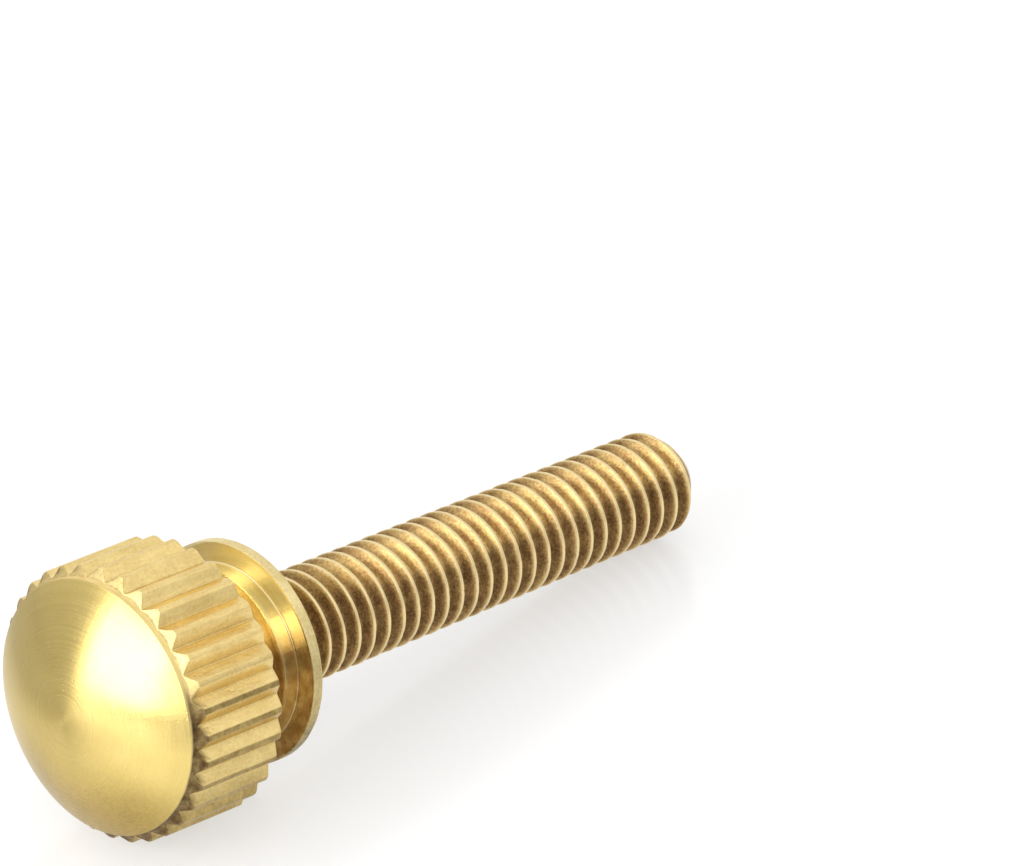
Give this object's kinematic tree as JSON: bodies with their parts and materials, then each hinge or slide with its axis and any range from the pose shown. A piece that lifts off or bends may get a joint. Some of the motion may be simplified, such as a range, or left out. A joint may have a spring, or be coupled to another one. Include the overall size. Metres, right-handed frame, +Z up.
{
  "type": "thumb screw",
  "caption": "Solid brass thumb screw with a domed knurled head, a washer collar behind a necked cone, and a threaded shank that ends in a bevelled point.",
  "frame": {"origin": "on the ground under the middle of the lying screw's box", "axes": "+X along the length of the screw on the ground, towards its point; +Z up; the shank tips 7.0 degrees down towards the point"},
  "size_m": [0.029, 0.0094, 0.0098],
  "materials": {
    "brass": "satin, as turned, with fine tool marks and small burrs"
  },
  "bodies": {
    "root": {"thumb_screw": "brass"}
  },
  "joints": []
}
